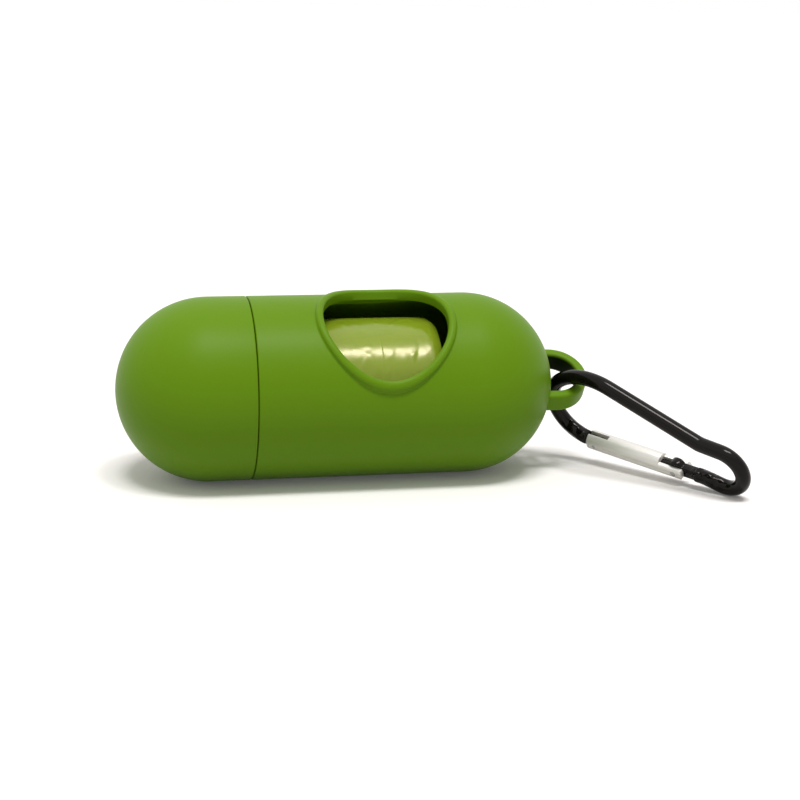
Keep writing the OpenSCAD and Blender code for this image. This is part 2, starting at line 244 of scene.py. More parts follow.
def bake(thing):
    graph = bpy.context.evaluated_depsgraph_get()
    mesh = bpy.data.meshes.new_from_object(thing.evaluated_get(graph))
    thing.modifiers.clear()
    thing.data = mesh
    return thing


def cut(thing, *cutters):
    for cutter in cutters:
        step = thing.modifiers.new("cut", "BOOLEAN")
        step.operation = "DIFFERENCE"
        step.solver = "EXACT"
        step.object = cutter
    bake(thing)
    for cutter in cutters:
        bpy.data.objects.remove(cutter)
    return thing


def join(name, *things):
    work = bmesh.new()
    for thing in things:
        work.from_mesh(thing.data)
    mesh = bpy.data.meshes.new(name)
    work.to_mesh(mesh)
    work.free()
    for thing in things:
        bpy.data.objects.remove(thing)
    mesh.shade_smooth()
    mesh.set_sharp_from_angle(angle=sharp_edge)
    return place(name, mesh)


# Satin plastic has the faint grain of the mould, and a little of the light that enters
# it comes back out, which softens its shadows. The loop's inside face is painted near black:
# painted shade.
loop_hole_r = 5.1 * mm
loop_t = 2.2 * mm
loop_w = 4.6 * mm
loop_x = housing_high.x - loop_hole_r - loop_t
window_lean = radians(33)
green = (0.134, 0.272, 0.005, 1)
green_deep = (0.122, 0.25, 0.004, 1)
# The near black and its strength for the painted shade on the loop's inner face.
painted_shade_black, painted_shade_share = (0.003, 0.004, 0.002, 1), 0.93
shade_from, shade_to, shade_fade = 0.05 * mm, 0.6 * mm, 0.7 * mm
green_plastic, tree = new_material("satin green plastic")
where = node(tree, "ShaderNodeTexCoord")
clouds = node(tree, "ShaderNodeTexNoise", {"Vector": where.outputs["Object"],
              "Scale": 35.0, "Detail": 3.0})
tint = node(tree, "ShaderNodeMix", {"Factor": clouds.outputs[0], 6: green_deep, 7: green},
            data_type="RGBA")
# Painted shade: the loop's inner face, where little light gets in, is darkened towards near
# black.
at_loop = node(tree, "ShaderNodeMapping", {
    "Vector": where.outputs["Object"], "Location": (loop_x, 0, axis_z),
    "Rotation": (window_lean, 0, 0)}, vector_type="TEXTURE")
flat = node(tree, "ShaderNodeVectorMath", {0: at_loop.outputs[0], 1: (1, 1, 0)},
            operation="MULTIPLY")
from_middle = node(tree, "ShaderNodeVectorMath", {0: flat.outputs[0]}, operation="LENGTH")
inner_face = node(tree, "ShaderNodeMapRange", {
    "Value": from_middle.outputs["Value"], "From Min": loop_hole_r + shade_from,
    "From Max": loop_hole_r + shade_to, "To Min": painted_shade_share, "To Max": 0.0},
    interpolation_type="SMOOTHSTEP")
sideways = node(tree, "ShaderNodeSeparateXYZ", {0: at_loop.outputs[0]})
sideways = node(tree, "ShaderNodeMath", {0: sideways.outputs[2]}, operation="ABSOLUTE")
in_band = node(tree, "ShaderNodeMapRange", {
    "Value": sideways.outputs[0], "From Min": loop_w / 2 - shade_fade,
    "From Max": loop_w / 2, "To Min": 1.0, "To Max": 0.0})
painted_shade = node(tree, "ShaderNodeMath", {0: inner_face.outputs[0], 1: in_band.outputs[0]},
           operation="MULTIPLY")
shaded_tint = node(tree, "ShaderNodeMix", {"Factor": painted_shade.outputs[0], 6: tint.outputs[2],
              7: painted_shade_black}, data_type="RGBA")
grain = node(tree, "ShaderNodeTexNoise", {"Vector": where.outputs["Object"],
             "Scale": 2600.0, "Detail": 2.0})
relief = node(tree, "ShaderNodeBump", {"Height": grain.outputs[0], "Strength": 0.06,
              "Distance": 0.05 * mm})
gloss = node(tree, "ShaderNodeMapRange", {"Value": clouds.outputs[0],
             "To Min": 0.4, "To Max": 0.47})
shader = node(tree, "ShaderNodeBsdfPrincipled", {
    "Base Color": shaded_tint.outputs[2], "Roughness": gloss.outputs[0],
    "Normal": relief.outputs[0], "Specular IOR Level": 0.11,
    "Subsurface Weight": 0.06, "Subsurface Scale": 1.2 * mm})
node(tree, "ShaderNodeOutputMaterial", {0: shader.outputs[0]})

# The window is a round hole cut square to the wall. A rounded bead, moulded with the
# wall, follows its edge and so takes the shape of a saddle.
window_r = 13 * mm
window_x = 8.1 * mm
lip_steps = 160


def from_window(x, across, rise):
    return Vector((x, across * cos(window_lean) - rise * sin(window_lean),
                   axis_z + across * sin(window_lean) + rise * cos(window_lean)))


def on_wall(ring_r, a, height):
    across = ring_r * sin(a)
    rise = sqrt(body_r ** 2 - across ** 2)
    lift = 1 + height / body_r
    return from_window(window_x + ring_r * cos(a), across * lift, rise * lift)


edge_x = seam_x + seam_gap / 2
outline = [(edge_x, neck_r)]
outline += arc(edge_x + seam_bevel, body_r - seam_bevel, seam_bevel, pi, pi / 2, 5)
outline += arc(dome_x, 0, body_r, pi / 2, 0, 72)
outline += arc(dome_x, 0, bay_r, 0, pi / 2, 60)
outline += arc(seam_x + shoulder, neck_bore_r + neck_round, neck_round, 0, -pi / 2, 4)
outline += arc(neck_x + neck_round, neck_bore_r + neck_round, neck_round, -pi / 2, -pi, 4)
outline += arc(neck_x + neck_round, neck_r - neck_round, neck_round, pi, pi / 2, 4)
shell = place("shell", turned("shell", outline))

hole_r = window_r + 0.5 * mm  # the bead covers the cut edge
past_wall = body_r * 1.1
hole_rings = [[from_window(window_x + hole_r * cos(2 * pi * i / lip_steps),
               hole_r * sin(2 * pi * i / lip_steps), rise) for i in range(lip_steps)]
              for rise in (0, past_wall)]
cut(shell, place("hole", loft("hole", hole_rings, ends=True)))

# The bead's section is given in millimetres, out from the window and up from the wall.
lip_outline = [(1.75, -0.12), (1.62, 0.0), (1.5, 0.06), (1.38, 0.2)]
lip_outline += [(0.55 + 0.78 * cos(a), 0.2 + 0.65 * sin(a))
                for a in [radians(12 + 156 * i / 14) for i in range(15)]]
lip_outline += [(-0.23, 0.15), (-0.22, -0.3), (-0.2, -1.2), (-0.12, -1.34), (0.05, -1.4),
                (0.7, -1.4), (0.9, -1.1), (0.9, -0.5)]
lip_rings = [[on_wall(window_r + out * mm, 2 * pi * i / lip_steps, height * mm)
              for out, height in lip_outline] for i in range(lip_steps)]
lip = place("lip", loft("lip", lip_rings, path_closed=True))

# The loop is a flat band bent to half a ring. It is moulded with the housing, and its
# two legs are rooted in the dome.
loop_mid_r = loop_hole_r + loop_t / 2
loop_round = 0.75 * mm
loop_root = 4.2 * mm


def band_section():
    half_t, half_w = loop_t / 2 - loop_round, loop_w / 2 - loop_round
    corners = [(half_t, half_w, 0), (-half_t, half_w, 1), (-half_t, -half_w, 2),
               (half_t, -half_w, 3)]
    section = []
    for out, side, quarter in corners:
        for i in range(6):
            a = pi / 2 * (quarter + i / 5)
            section.append((out + loop_round * cos(a), side + loop_round * sin(a)))
    return section


leg = (-loop_root, -3.1 * mm, -1.5 * mm)
stations = [(back, -pi / 2) for back in leg]
stations += [(0, -pi / 2 + pi * i / 48) for i in range(49)]
stations += [(back, pi / 2) for back in reversed(leg)]
loop_rings = []
for back, a in stations:
    ring = []
    for out, side in band_section():
        r = loop_mid_r + out
        ring.append(from_window(loop_x + back + r * cos(a), r * sin(a), side))
    loop_rings.append(ring)
loop = place("loop", loft("loop", loop_rings, ends=True))

# A three-start thread runs once round the neck. A right-hand turn to the capsule's left
# end backs the cap off by the thread's full lead.
thread_lead = 9 * mm
thread_starts = 3
ridge_r = 0.38 * mm
rise_rate, tip_share = 9.0, 0.12


def new_tree(name, **sizes):
    tree = bpy.data.node_groups.new(name, "GeometryNodeTree")
    tree.interface.new_socket("Geometry", in_out="OUTPUT", socket_type="NodeSocketGeometry")
    tree.interface.new_socket("Geometry", in_out="INPUT", socket_type="NodeSocketGeometry")
    for key, value in sizes.items():
        kind = "NodeSocketInt" if isinstance(value, int) else "NodeSocketFloat"
        socket = tree.interface.new_socket(key, in_out="INPUT", socket_type=kind)
        socket.default_value = value
    return tree, node(tree, "NodeGroupInput")


def end_tree(tree, geometry, material):
    real = node(tree, "GeometryNodeRealizeInstances", {0: geometry})
    smooth = node(tree, "GeometryNodeSetShadeSmooth", {0: real.outputs[0]})
    coated = node(tree, "GeometryNodeSetMaterial", {0: smooth.outputs[0], "Material": material})
    node(tree, "NodeGroupOutput", {0: coated.outputs[0]})


def grow(name, tree, host_mesh=None, **sizes):
    made = place(name, host_mesh or bpy.data.meshes.new(name))
    step = made.modifiers.new(tree.name, "NODES")
    step.node_group = tree
    for socket in tree.interface.items_tree:
        if socket.in_out == "INPUT" and socket.name in sizes:
            step[socket.identifier] = sizes[socket.name]
    return bake(made)


def calculate(tree, operation, first, second=0.0, third=0.0):
    return node(tree, "ShaderNodeMath", {0: first, 1: second, 2: third},
                operation=operation).outputs[0]


thread_tree, given = new_tree("screw thread", Radius=1.0, Turns=1.0, Lead=1.0,
                              Ridge=0.1, Starts=3, Steps=96)
height = calculate(thread_tree, "MULTIPLY", given.outputs["Turns"], given.outputs["Lead"])
helix = node(thread_tree, "GeometryNodeCurveSpiral", {
    "Resolution": given.outputs["Steps"], "Rotations": given.outputs["Turns"],
    "Start Radius": given.outputs["Radius"], "End Radius": given.outputs["Radius"],
    "Height": height, "Reverse": True})
along = node(thread_tree, "GeometryNodeSplineParameter")
near_end = calculate(thread_tree, "MINIMUM", along.outputs["Factor"],
                     calculate(thread_tree, "SUBTRACT", 1.0, along.outputs["Factor"]))
fade = calculate(thread_tree, "MINIMUM", 1.0, calculate(
    thread_tree, "MULTIPLY_ADD", near_end, rise_rate, tip_share))
ridge = calculate(thread_tree, "MULTIPLY", fade, given.outputs["Ridge"])
section = node(thread_tree, "GeometryNodeCurvePrimitiveCircle", {
    "Resolution": 10, "Radius": 1.0})
swept = node(thread_tree, "GeometryNodeCurveToMesh", {0: helix.outputs[0],
             "Profile Curve": section.outputs[0], "Scale": ridge, "Fill Caps": True})
copies = node(thread_tree, "GeometryNodeDuplicateElements", {0: swept.outputs[0],
              "Amount": given.outputs["Starts"]}, domain="INSTANCE")
instance = node(thread_tree, "GeometryNodeGeometryToInstance", {0: swept.outputs[0]})
thread_tree.links.new(instance.outputs[0], copies.inputs[0])
share = calculate(thread_tree, "DIVIDE", copies.outputs["Duplicate Index"],
                  given.outputs["Starts"])
spin = node(thread_tree, "ShaderNodeCombineXYZ", {
    2: calculate(thread_tree, "MULTIPLY", share, 2 * pi)})
spread = node(thread_tree, "GeometryNodeRotateInstances", {0: copies.outputs[0],
              "Rotation": spin.outputs[0]})
end_tree(thread_tree, spread.outputs[0], green_plastic)

# The helix is made upright and laid down along the capsule, the way the cap comes off.
to_axis = Matrix(((0, 0, -1, 0), (0, 1, 0, 0), (1, 0, 0, axis_z), (0, 0, 0, 1)))
thread_turns, thread_back = 0.62, 0.9 * mm
neck_thread = grow("neck_thread", thread_tree, Radius=neck_r, Turns=thread_turns,
                   Lead=thread_lead, Ridge=ridge_r, Starts=thread_starts)
neck_start = seam_x - thread_back
neck_thread.data.transform(Matrix.Translation((neck_start, 0, 0)) @ to_axis)

housing = join("moulded_housing", shell, lip, loop, neck_thread)
coat(housing, green_plastic)
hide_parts("housing")
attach(housing, "body")

# The cap is the same plastic. Its rim is thinned on the inside to take the neck, and a
# step stops the neck's end; the thread's ridges run between those of the neck.
cap_edge_x = cap_high.x
neck_end_gap, rim_round = 0.3 * mm, 0.25 * mm
step_x = neck_x - neck_end_gap
outline = arc(-dome_x, 0, body_r, pi, pi / 2, 72)
outline += arc(cap_edge_x - seam_bevel, body_r - seam_bevel, seam_bevel, pi / 2, 0, 5)
outline += arc(cap_edge_x - rim_round, rim_bore_r + rim_round, rim_round, 0, -pi / 2, 3)
outline += [(step_x, rim_bore_r), (step_x, bay_r)]
outline += arc(-dome_x, 0, bay_r, pi / 2, pi, 60)
cap_shell = place("cap_shell", turned("cap_shell", outline))
cap_thread = grow("cap_thread", thread_tree, Radius=rim_bore_r, Turns=thread_turns,
                  Lead=thread_lead, Ridge=ridge_r, Starts=thread_starts)
half_step = Matrix.Rotation(pi / thread_starts, 4, "X")
cap_thread.data.transform(to_axis)
cap_thread.data.transform(Matrix.Translation((0, 0, -axis_z)))
cap_thread.data.transform(half_step)
cap_thread.data.transform(Matrix.Translation((neck_start, 0, axis_z)))
cap = join("screw_cap", cap_shell, cap_thread)
coat(cap, green_plastic)
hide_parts("cap")
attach(cap, "cap")

# The core is a tube of grey-brown card, wound from a strip, and flecked with fibres
# that run at a slant round it.
core_low, core_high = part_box("roll_core")
core_r = (core_high.z - core_low.z) / 2
roll_z = (core_high.z + core_low.z) / 2
roll_x = core_low.x
roll_length = core_high.x - core_low.x
core_wall = 1 * mm
card_round = 0.2 * mm
core_sides = 96
outline = arc(roll_x + card_round, core_r - card_round, card_round, pi, pi / 2, 3)
outline += arc(roll_x + roll_length - card_round, core_r - card_round, card_round, pi / 2, 0, 3)
outline += arc(roll_x + roll_length - card_round, core_r - core_wall + card_round, card_round,
               0, -pi / 2, 3)
outline += arc(roll_x + card_round, core_r - core_wall + card_round, card_round,
               -pi / 2, -pi, 3)
core_rings = []
for i in range(core_sides):
    a = 2 * pi * i / core_sides
    core_rings.append([(x, r * sin(a), roll_z + r * cos(a)) for x, r in outline])
card_dark, card_light = (0.27, 0.18, 0.1, 1), (0.45, 0.33, 0.2, 1)
card, tree = new_material("grey-brown card")
where = node(tree, "ShaderNodeTexCoord")
fibres = node(tree, "ShaderNodeMapping", {"Vector": where.outputs["Object"],
              "Rotation": (0.5, 0, 0.6), "Scale": (300, 2500, 2500)})
flecks = node(tree, "ShaderNodeTexNoise", {"Vector": fibres.outputs[0], "Scale": 1.0,
              "Detail": 5.0, "Roughness": 0.7})
tint = node(tree, "ShaderNodeMix", {"Factor": flecks.outputs[0], 6: card_dark,
            7: card_light}, data_type="RGBA")
relief = node(tree, "ShaderNodeBump", {"Height": flecks.outputs[0], "Strength": 0.3,
              "Distance": 0.05 * mm})
shader = node(tree, "ShaderNodeBsdfPrincipled", {"Base Color": tint.outputs[2],
              "Roughness": 0.9, "Normal": relief.outputs[0]})
node(tree, "ShaderNodeOutputMaterial", {0: shader.outputs[0]})
core = place("card_core", loft("card_core", core_rings, path_closed=True), card)
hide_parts("roll_core")
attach(core, "roll")

# Each bag is a folded strip of thin glossy film, wound several times round the roll.
# The film is slack enough to ripple, and creases cross the turn that shows.
fold_x, fold_width = 7.3 * mm, 0.3 * mm
film_deep, film_pale = (0.19, 0.275, 0.011, 1), (0.245, 0.335, 0.017, 1)
film_sheen = (1.0, 0.82, 0.64, 1)
film, tree = new_material("green bag film")
where = node(tree, "ShaderNodeTexCoord")
stretched = node(tree, "ShaderNodeMapping", {"Vector": where.outputs["Object"],
                 "Scale": (90, 500, 500)})
streaks = node(tree, "ShaderNodeTexNoise", {"Vector": stretched.outputs[0], "Scale": 1.0,
               "Detail": 4.0, "Roughness": 0.6})
tint = node(tree, "ShaderNodeMix", {"Factor": streaks.outputs[0], 6: film_deep,
            7: film_pale}, data_type="RGBA")
crumpled = node(tree, "ShaderNodeMapping", {"Vector": where.outputs["Object"],
                "Scale": (260, 150, 150)})
crumples = node(tree, "ShaderNodeTexNoise", {"Vector": crumpled.outputs[0], "Scale": 1.0,
                "Detail": 3.0, "Distortion": 0.8}, noise_type="RIDGED_MULTIFRACTAL")
place_along = node(tree, "ShaderNodeSeparateXYZ", {0: where.outputs["Object"]})
off_fold = node(tree, "ShaderNodeMath", {0: place_along.outputs[0], 1: fold_x},
                operation="SUBTRACT")
off_fold = node(tree, "ShaderNodeMath", {0: off_fold.outputs[0]}, operation="ABSOLUTE")
fold = node(tree, "ShaderNodeMapRange", {"Value": off_fold.outputs[0], "From Max": fold_width,
            "To Min": 1.0, "To Max": 0.0}, interpolation_type="SMOOTHSTEP")
folded = node(tree, "ShaderNodeBump", {"Height": fold.outputs[0], "Strength": 0.25,
              "Distance": 0.1 * mm})
creased = node(tree, "ShaderNodeBump", {"Height": crumples.outputs[0], "Strength": 1.0,
               "Distance": 0.35 * mm, "Normal": folded.outputs[0]})
relief = node(tree, "ShaderNodeBump", {"Height": streaks.outputs[0], "Strength": 0.04,
              "Distance": 0.1 * mm, "Normal": creased.outputs[0]})
shader = node(tree, "ShaderNodeBsdfPrincipled", {
    "Base Color": tint.outputs[2], "Roughness": 0.22, "Normal": relief.outputs[0],
    "Specular IOR Level": 0.6, "Specular Tint": film_sheen,
    "Subsurface Weight": 0.08, "Subsurface Scale": 1 * mm})
node(tree, "ShaderNodeOutputMaterial", {0: shader.outputs[0]})

film_tree, given = new_tree("wound film", Inner=1.0, Outer=2.0, Turns=5.0, Length=1.0,
                            Around=300, Along=8, Ripple=0.0, Start=0.0)
sheet = node(film_tree, "GeometryNodeMeshGrid", {"Size X": 1.0, "Size Y": 1.0,
             "Vertices X": given.outputs["Around"], "Vertices Y": given.outputs["Along"]})
at = node(film_tree, "GeometryNodeInputPosition")
spot = node(film_tree, "ShaderNodeSeparateXYZ", {0: at.outputs[0]})
wind = calculate(film_tree, "ADD", spot.outputs[0], 0.5)
length_share = spot.outputs[1]
angle = calculate(film_tree, "ADD", calculate(film_tree, "MULTIPLY", calculate(
    film_tree, "MULTIPLY", wind, given.outputs["Turns"]), 2 * pi), given.outputs["Start"])
plain_r = calculate(film_tree, "ADD", given.outputs["Inner"], calculate(
    film_tree, "MULTIPLY", wind, calculate(
        film_tree, "SUBTRACT", given.outputs["Outer"], given.outputs["Inner"])))
axial = calculate(film_tree, "MULTIPLY", length_share, given.outputs["Length"])
round_x = calculate(film_tree, "COSINE", angle)
round_y = calculate(film_tree, "SINE", angle)
ripples_round, ripples_along = 1.7, 1.5
ripple_at = node(film_tree, "ShaderNodeCombineXYZ", {
    0: calculate(film_tree, "MULTIPLY", round_x, ripples_round),
    1: calculate(film_tree, "MULTIPLY", round_y, ripples_round),
    2: calculate(film_tree, "MULTIPLY", length_share, ripples_along)})
ripples = node(film_tree, "ShaderNodeTexNoise", {"Vector": ripple_at.outputs[0],
               "Scale": 2.0, "Detail": 3.0})
swing = calculate(film_tree, "MULTIPLY", calculate(
    film_tree, "SUBTRACT", ripples.outputs[0], 1.0), given.outputs["Ripple"])
from_end = calculate(film_tree, "MULTIPLY", calculate(
    film_tree, "SUBTRACT", 0.5, calculate(film_tree, "ABSOLUTE", length_share)),
    given.outputs["Length"])
slack_width, slack_drop, full_depth = 2 * mm, 0.9 * mm, 9 * mm
near_edge = calculate(film_tree, "MAXIMUM", 0.0, calculate(
    film_tree, "SUBTRACT", 1.0, calculate(film_tree, "DIVIDE", from_end, slack_width)))
sag = calculate(film_tree, "MULTIPLY", calculate(film_tree, "POWER", near_edge, 2.0),
                -slack_drop)
depth = calculate(film_tree, "DIVIDE", calculate(
    film_tree, "SUBTRACT", plain_r, core_r), full_depth)
radius = calculate(film_tree, "ADD", calculate(film_tree, "ADD", plain_r, swing),
                   calculate(film_tree, "MULTIPLY", sag, depth))
rolled = node(film_tree, "ShaderNodeCombineXYZ", {
    0: calculate(film_tree, "MULTIPLY", radius, round_x),
    1: calculate(film_tree, "MULTIPLY", radius, round_y), 2: axial})
laid = node(film_tree, "GeometryNodeSetPosition", {0: sheet.outputs[0],
            "Position": rolled.outputs[0]})
end_tree(film_tree, laid.outputs[0], film)

bag_count = 15
bag_outer = (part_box("bag_01")[1].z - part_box("bag_01")[0].z) / 2
bag_inner = core_r + 0.1 * mm
film_length = roll_length - 0.4 * mm
bag_depth = (bag_outer - bag_inner) / bag_count
layers = 4
sheet_gap = 0.03 * mm
for number in range(1, bag_count + 1):
    shown_bag = number == 1
    outer = bag_outer - (number - 1) * bag_depth
    bag = grow("bag_%02d_film" % number, film_tree,
               Inner=outer - bag_depth + sheet_gap, Outer=outer - sheet_gap,
               Turns=float(layers), Length=film_length,
               Around=layers * (96 if shown_bag else 48) + 1,
               Along=81 if shown_bag else 17,
               Ripple=0.1 * mm if shown_bag else 0.0, Start=radians(60))
    middle = Matrix.Translation((roll_x + roll_length / 2, 0, roll_z))
    bag.data.transform(middle @ Matrix.Rotation(pi / 2, 4, "Y"))
    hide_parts("bag_%02d" % number)
    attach(bag, "bags")

# The carabiner's wire is one round bar, bent in a plane: a wide bow that hangs in the
# loop, a straight spine and a narrow eye. It is anodised black.
joints = {joint["name"]: joint for joint in frame["joints"]}
along_clip = -Vector(joints["plunger_slide"]["axis"]).normalized()
through_clip = -Vector(joints["gate_swing"]["axis"]).normalized()
across_clip = through_clip.cross(along_clip)
pivot_u, gate_v = 22.1 * mm, -8.5 * mm
pivot = Vector(joints["gate_swing"]["pos_m"])
bow_centre = pivot - along_clip * pivot_u - across_clip * gate_v
clip_plane = Matrix((along_clip, across_clip, through_clip)).transposed().to_4x4()
clip_plane.translation = bow_centre
wire_r = 1.6 * mm
bow_r, back_r, eye_r = 8.5 * mm, 13.5 * mm, 4.9 * mm
back_from = radians(131)
spine_slope = radians(21)
eye_centre = Vector((33.5, -4.4)) * mm
heel = Vector((28.5 * mm, gate_v))
bend_r = 5 * mm
nose_at = radians(265)
gate_r = 2.1 * mm
shoulder_u = pivot_u + gate_r + 2.2 * mm
end_round = 0.8 * mm


def bow(centre, r, start, stop, steps):
    return [Vector((centre[0] + r * cos(a), centre[1] + r * sin(a)))
            for a in [start + (stop - start) * i / steps for i in range(steps + 1)]]


def touch(point, side):
    gap = point - eye_centre
    return atan2(gap.y, gap.x) + side * acos(eye_r / gap.length)


def soft_bend(corner, heading, turn):
    back = bend_r * tan(turn / 2)
    start = corner - Vector((cos(heading), sin(heading))) * back
    centre = start + Vector((-sin(heading), cos(heading))) * bend_r
    return bow(centre, bend_r, heading - pi / 2, heading - pi / 2 + turn, 8)


back_centre = Vector((cos(back_from), sin(back_from))) * (bow_r - back_r)
spine_from = back_centre + Vector((sin(spine_slope), cos(spine_slope))) * back_r
spine_u = 29 * mm
spine_to = Vector((spine_u, spine_from.y - (spine_u - spine_from.x) * tan(spine_slope)))
eye_from, eye_to = touch(spine_to, -1), touch(heel, 1)
end_turn = asin(end_round / bow_r)
route = bow((0, 0), bow_r, nose_at, nose_at - end_turn, 6)[:-1]
route += bow((0, 0), bow_r, nose_at - end_turn, back_from, 56)
route += bow(back_centre, back_r, back_from, pi / 2 - spine_slope, 30)[1:]
route += soft_bend(spine_to, -spine_slope, eye_from - pi / 2 + spine_slope)
route += bow(eye_centre, eye_r, eye_from, eye_to, 60)
route += soft_bend(heel, eye_to - pi / 2, -pi / 2 - eye_to)
route += [Vector((shoulder_u + end_round * (1 - i / 6), gate_v)) for i in range(7)]

coat_deep, coat_pale = (0.002, 0.002, 0.002, 1), (0.006, 0.005, 0.005, 1)
coat_sheen = (1.0, 0.92, 0.87, 1)
black, tree = new_material("black anodising")
where = node(tree, "ShaderNodeTexCoord")
specks = node(tree, "ShaderNodeTexNoise", {"Vector": where.outputs["Object"],
              "Scale": 900.0, "Detail": 3.0})
smears = node(tree, "ShaderNodeTexNoise", {"Vector": where.outputs["Object"],
              "Scale": 120.0, "Detail": 2.0})
tint = node(tree, "ShaderNodeMix", {"Factor": smears.outputs[0], 6: coat_deep,
            7: coat_pale}, data_type="RGBA")
gloss = node(tree, "ShaderNodeMapRange", {"Value": smears.outputs[0], "To Min": 0.12,
             "To Max": 0.16})
# The wire is dented near both its ends, as if it had been crimped there.
dent_places = (Vector((29.2, -8.3, 0)) * mm, Vector((-2.9, -8.0, 0)) * mm)
dent_core, dent_reach, dent_depth = 2.5 * mm, 5.5 * mm, 1.2 * mm
nearest = 1.0
for dent_at in dent_places:
    spot = node(tree, "ShaderNodeVectorMath", {0: where.outputs["Object"],
                1: clip_plane @ dent_at}, operation="DISTANCE")
    nearest = node(tree, "ShaderNodeMath", {0: spot.outputs["Value"], 1: nearest},
                   operation="MINIMUM").outputs[0]
marked = node(tree, "ShaderNodeMapRange", {"Value": nearest, "From Min": dent_core,
              "From Max": dent_reach, "To Min": 1.0, "To Max": 0.0},
              interpolation_type="SMOOTHSTEP")
dents = node(tree, "ShaderNodeTexNoise", {"Vector": where.outputs["Object"],
             "Scale": 420.0, "Detail": 1.0})
dented = node(tree, "ShaderNodeMath", {0: dents.outputs[0], 1: marked.outputs[0]},
              operation="MULTIPLY")
crimps = node(tree, "ShaderNodeBump", {"Height": dented.outputs[0], "Strength": 1.0,
              "Distance": dent_depth})
relief = node(tree, "ShaderNodeBump", {"Height": specks.outputs[0], "Strength": 0.04,
              "Distance": 0.01 * mm, "Normal": crimps.outputs[0]})
shader = node(tree, "ShaderNodeBsdfPrincipled", {"Base Color": tint.outputs[2],
              "Roughness": gloss.outputs[0], "Normal": relief.outputs[0],
              "Specular IOR Level": 0.16, "Specular Tint": coat_sheen})
node(tree, "ShaderNodeOutputMaterial", {0: shader.outputs[0]})

wire_tree, given = new_tree("bent bar", Radius=1.0, Rounding=0.5, Sides=32)
path = node(wire_tree, "GeometryNodeMeshToCurve", {0: given.outputs["Geometry"]})
section = node(wire_tree, "GeometryNodeCurvePrimitiveCircle", {
    "Resolution": given.outputs["Sides"], "Radius": 1.0})
along = node(wire_tree, "GeometryNodeSplineParameter")
whole = node(wire_tree, "GeometryNodeSplineLength").outputs[0]
to_end = calculate(wire_tree, "MINIMUM", along.outputs["Length"],
                   calculate(wire_tree, "SUBTRACT", whole, along.outputs["Length"]))
inside = calculate(wire_tree, "MINIMUM", 1.0,
                   calculate(wire_tree, "DIVIDE", to_end, given.outputs["Rounding"]))
flat = calculate(wire_tree, "SUBTRACT", 1.0, inside)
drop = calculate(wire_tree, "SUBTRACT", 1.0, calculate(
    wire_tree, "SQRT", calculate(wire_tree, "SUBTRACT", 1.0, calculate(
        wire_tree, "MULTIPLY", flat, flat))))
bar_r = calculate(wire_tree, "SUBTRACT", given.outputs["Radius"], calculate(
    wire_tree, "MULTIPLY", drop, given.outputs["Rounding"]))
swept = node(wire_tree, "GeometryNodeCurveToMesh", {0: path.outputs[0],
             "Profile Curve": section.outputs[0], "Scale": bar_r, "Fill Caps": True})
end_tree(wire_tree, swept.outputs[0], black)
route_mesh = bpy.data.meshes.new("wire route")
route_mesh.from_pydata([(p.x, p.y, 0) for p in route],
                       [(i, i + 1) for i in range(len(route) - 1)], [])
undersize = 0.02 * mm  # so that the bar stays inside the box of the CAD's wire
wire = grow("wire", wire_tree, route_mesh, Radius=wire_r - undersize,
            Rounding=end_round, Sides=32)
tidy(wire.data)

# Two tongues stand out of the wire's ends: a hooked one that the latch pin drops into,
# and one with a round off-centre head that the gate's rivet goes through.
tongue_t, head_t = 0.9 * mm, 1.7 * mm
nose_u = (bow_r - wire_r) * cos(nose_at)
latch_u = nose_u + 2.2 * mm
latch_r, rivet_r = 0.45 * mm, 0.6 * mm
cam_r, cam_off = 1.7 * mm, 0.6 * mm
tongue_root, tongue_low, tongue_high = 0.8 * mm, cam_r - cam_off, 1.3 * mm


def plate(name, outline, thickness, bevel=0.1 * mm):
    rings = [[(u, v, w) for u, v in outline] for w in (-thickness / 2, thickness / 2)]
    made = place(name, loft(name, rings, ends=True))
    if bevel:
        step = made.modifiers.new("bevel", "BEVEL")
        step.width = bevel
        step.segments = 2
        step.angle_limit = radians(40)
        bake(made)
    return made


notch_r = latch_r + 0.12 * mm
nose_reach = 2 * mm
tip_u = latch_u + nose_reach - tongue_low
nose_outline = [(nose_u - tongue_root, gate_v - tongue_low)]
nose_outline += bow((tip_u, gate_v), tongue_low, -pi / 2, pi / 2, 12)
nose_outline += [(latch_u + notch_r, gate_v + tongue_low)]
nose_outline += bow((latch_u, gate_v), notch_r, 0, -pi, 12)
nose_outline += [(latch_u - notch_r, gate_v + tongue_low),
                 (nose_u - tongue_root, gate_v + tongue_low)]
nose_hook = plate("nose_hook", nose_outline, tongue_t)
head_centre = (pivot_u, gate_v + cam_off)
head_outline = [(shoulder_u + tongue_root, gate_v - tongue_low),
                (shoulder_u + tongue_root, gate_v + tongue_high)]
upper = asin((tongue_high - cam_off) / cam_r)
head_outline += bow(head_centre, cam_r, upper, 3 * pi / 2, 36)
head = plate("pivot_tongue", head_outline, head_t)
frame_piece = join("carabiner_wire", wire, nose_hook, head)
frame_piece.data.transform(clip_plane)
coat(frame_piece, black)
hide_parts("carabiner_frame")
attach(frame_piece, "carabiner")

# The gate is a bare aluminium rod, slotted at both ends over the tongues and bored for
# its spring. Drawing the rod leaves fine lines along it.
gate_from = nose_u + 0.22 * mm
chamfer = 0.25 * mm


def rod(name, outline, sides=64):
    rings = []
    for u, r in outline:
        rings.append([(u, gate_v + r * cos(2 * pi * j / sides), r * sin(2 * pi * j / sides))
                      for j in range(sides)])
    return place(name, loft(name, rings, ends=True))


def block(name, low, high):
    corners = ((low[0], low[1]), (high[0], low[1]), (high[0], high[1]), (low[0], high[1]))
    rings = [[(u, v, w) for u, v in corners] for w in (low[2], high[2])]
    return place(name, loft(name, rings, ends=True))


def cross_rod(name, u, v, r, half, sides=48):
    rings = [[(u + r * cos(2 * pi * j / sides), v + r * sin(2 * pi * j / sides), w)
              for j in range(sides)] for w in (-half, half)]
    return place(name, loft(name, rings, ends=True))


